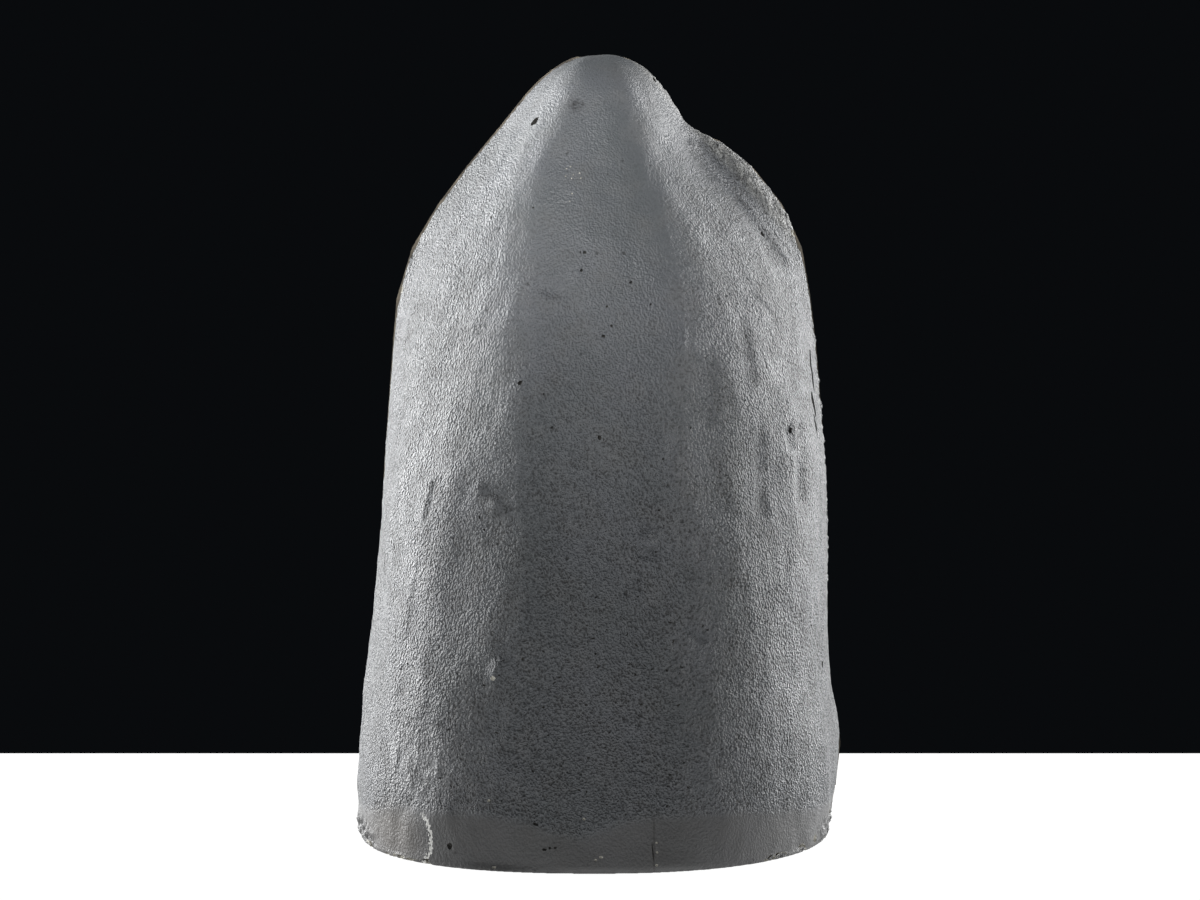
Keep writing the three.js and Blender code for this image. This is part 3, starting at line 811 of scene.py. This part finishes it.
# Four shapes a unit wide, which differ in the side that the tip lies towards.
shapes = []
random.seed(5)
for quarter in range(4):
    bpy.ops.mesh.primitive_cylinder_add(vertices=6, radius=0.5, depth=1, location=(0, 0, 0))
    shape = bpy.context.object
    select_faces(shape, is_top)
    bpy.ops.mesh.extrude_region_move(TRANSFORM_OT_translate={"value": (0, 0, TIP_HEIGHT)})
    bpy.ops.transform.resize(value=(TIP_WIDTH, TIP_WIDTH, 1))
    side = math.radians(90 * quarter)
    bpy.ops.transform.translate(value=(TIP_OFFSET * math.cos(side), TIP_OFFSET * math.sin(side), 0))
    bpy.ops.object.mode_set(mode="OBJECT")
    select_faces(shape, is_root)
    bpy.ops.transform.resize(value=(ROOT_WIDTH, ROOT_WIDTH, 1))
    bpy.ops.object.mode_set(mode="OBJECT")
    shapes.append(shape)

# Spots spread evenly over the wall, without those too near the sawn face or another crystal.
rind.data.calc_loop_triangles()
wall = [face for face in rind.data.loop_triangles if faces_hollow(Vector(face.center), Vector(face.normal))]
points = []
for face in random.choices(wall, weights=[face.area for face in wall], k=CRYSTAL_TRIES):
    first, second, third = [rind.data.vertices[corner].co for corner in face.vertices]
    run = math.sqrt(random.random())
    spot = first + (second - first) * run + (third - second) * (run * random.random())
    depth_share = smooth_step(FACE_Y - 0.008, FACE_Y - 0.070, spot.y)
    width = (SMALL_CRYSTAL + (LARGE_CRYSTAL - SMALL_CRYSTAL) * depth_share) * random.uniform(0.7, 1.25)
    if spot.y > FACE_Y - RIM_GAP * width:
        continue
    if all((spot - other).length > CROWDING * (width + other_width) for other, _, other_width in points):
        points.append((spot, Vector(face.normal), width))

# A crystal stands on each spot, more or less square to the wall, and then all are joined in one mesh.
crystals = []
for spot, normal, width in points:
    crystal = random.choice(shapes).copy()
    crystal.data = crystal.data.copy()
    bpy.context.collection.objects.link(crystal)
    away = Vector([random.gauss(0, STRAY_LEAN) for axis in range(3)])
    stance = (normal + away).normalized()
    spin = Quaternion((0, 0, 1), random.uniform(0, math.pi / 3))
    length = width * random.uniform(0.75, 1.35)
    crystal.rotation_euler = (stance.to_track_quat("Z", "Y") @ spin).to_euler()
    crystal.scale = (width, width, length)
    crystal.location = spot + stance * (STAND_OFF * length)
    crystals.append(crystal)
for shape in shapes:
    bpy.data.objects.remove(shape)
lining = crystals[0]
lining.name = "crystal_lining"
bpy.ops.object.select_all(action="DESELECT")
lining.select_set(True)
bpy.context.view_layer.objects.active = lining
bpy.ops.object.transform_apply()
others = bpy.data.collections.new("other_crystals")
bpy.context.scene.collection.children.link(others)
for crystal in crystals[1:]:
    others.objects.link(crystal)
modify(lining, "BOOLEAN", operation="UNION", operand_type="COLLECTION", collection=others,
       solver="MANIFOLD")
for crystal in crystals[1:]:
    bpy.data.objects.remove(crystal)
bpy.data.collections.remove(others)
bpy.ops.object.shade_flat()

PURPLE_DEEP = (0.56, 0.36, 0.80)
PURPLE_PALE = (0.80, 0.64, 0.95)
amethyst, tree, shader, place = new_material("clear_amethyst")
clouds = noise(tree, place, 30, detail=3)
purple = tint(tree, remap(tree, clouds, 0.3, 0.7), PURPLE_DEEP, PURPLE_PALE)
tree.links.new(purple, shader.inputs["Base Color"])
shader.inputs["Transmission Weight"].default_value = 0.9
shader.inputs["IOR"].default_value = 1.544
shader.inputs["Roughness"].default_value = 0.05
absorption = add_node(tree, "ShaderNodeVolumeAbsorption", {"Color": (0.45, 0.18, 0.76, 1), "Density": 60})
output = next(node for node in tree.nodes if node.bl_idname == "ShaderNodeOutputMaterial")
tree.links.new(absorption.outputs["Volume"], output.inputs["Volume"])
lining.data.materials.clear()
lining.data.materials.append(amethyst)
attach(lining, "root")
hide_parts("amethyst_crystals")

# ---- Studio: the camera, the table and the lights ----
# The camera stands a little above the middle of the geode, 1.3 m from the nearest point of its foot, on a
# long lens. The table ends 0.27 m behind the geode, and past it the room is dark.
CAMERA_PLACE = (0.0005, -1.3835, 0.231)
CAMERA_TILT = 88.5
bpy.ops.object.camera_add(location=CAMERA_PLACE, rotation=(math.radians(CAMERA_TILT), 0, 0))
camera = bpy.context.object
camera.data.lens = 85
camera.data.sensor_width = 36
bpy.context.scene.camera = camera

# The table's top glows evenly, so that it is plain white with no shadow.
TABLE_HALF = 2.6
TABLE_BACK = 0.345
TABLE_THICK = 0.03
bpy.ops.mesh.primitive_cube_add(size=1, location=(0, TABLE_BACK - TABLE_HALF, -TABLE_THICK / 2),
                                scale=(2 * TABLE_HALF, 2 * TABLE_HALF, TABLE_THICK))
table = bpy.context.object
table.name = "table"
white, _, shader, _ = new_material("table_white")
shader.inputs["Base Color"].default_value = (0.05, 0.05, 0.05, 1)
shader.inputs["Roughness"].default_value = 1
shader.inputs["Specular IOR Level"].default_value = 0
shader.inputs["Emission Color"].default_value = (1, 1, 1, 1)
shader.inputs["Emission Strength"].default_value = 1.0
table.data.materials.append(white)

world = bpy.data.worlds.new("dark_room")
world.use_nodes = True
world.node_tree.nodes["Background"].inputs["Color"].default_value = (0.0028, 0.0033, 0.004, 1)
bpy.context.scene.world = world
bpy.context.scene.view_settings.view_transform = "Standard"


def softbox(name, place, aim, width, height, watts, spread=180):
    """A rectangular studio light at a place, turned to face its aim."""
    bpy.ops.object.light_add(type="AREA", location=place)
    light = bpy.context.object
    light.name = name
    light.data.shape = "RECTANGLE"
    light.data.size = width
    light.data.size_y = height
    light.data.energy = watts
    light.data.spread = math.radians(spread)
    light.rotation_euler = (Vector(aim) - Vector(place)).to_track_quat("-Z", "Y").to_euler()


softbox("left_softbox", place=(-0.92, 0.58, 0.46), aim=(0, 0, 0.27), width=0.75, height=1.1, watts=43)
softbox("right_softbox", place=(0.90, 0.60, 0.46), aim=(0, 0, 0.28), width=0.9, height=0.95, watts=29)
softbox("front_softbox", place=(-0.3, -0.95, 0.85), aim=(0, 0, 0.44), width=0.3, height=0.3, watts=1.02,
        spread=38)
